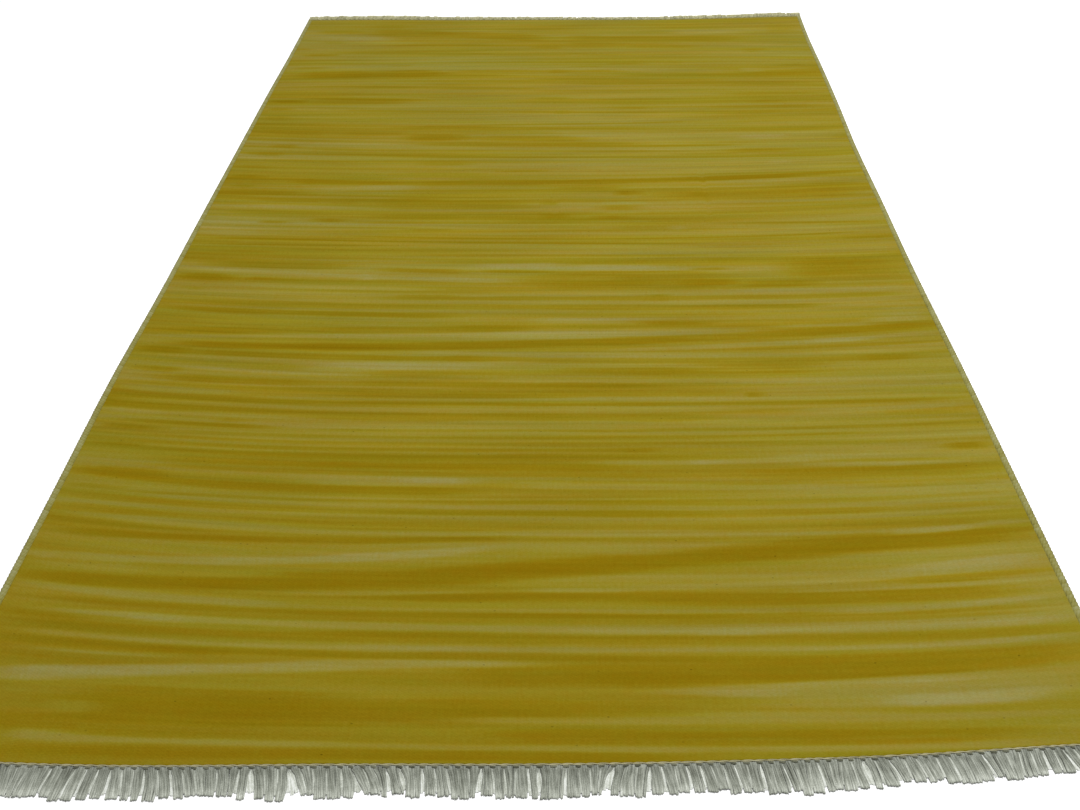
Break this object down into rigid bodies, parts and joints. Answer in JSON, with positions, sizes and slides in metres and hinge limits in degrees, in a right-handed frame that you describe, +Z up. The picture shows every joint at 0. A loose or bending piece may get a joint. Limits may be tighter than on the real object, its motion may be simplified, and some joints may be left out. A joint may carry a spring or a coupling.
{
  "type": "kilim rug",
  "caption": "Flat-woven rectangular rug lying flat, with an overcast selvedge down each side and a twined heading with bunched warp fringe at each end.",
  "frame": {"origin": "on the floor, at the middle of the rug's bounding box, the fringes included", "axes": "+X across the rug to the right, +Y along it from the near end to the far end, +Z up out of the cloth"},
  "size_m": [2.0459, 3.1401, 0.006],
  "materials": {
    "mustard_wool": "matt weft-faced wool in streaked mustard",
    "selvedge_yarn": "matt olive overcast yarn",
    "warp_cotton": "matt undyed twisted cotton"
  },
  "bodies": {
    "root": {"kilim_field": "mustard_wool", "selvedge_left": "selvedge_yarn", "selvedge_right": "selvedge_yarn", "fringe_near": "warp_cotton", "fringe_far": "warp_cotton"}
  },
  "joints": []
}
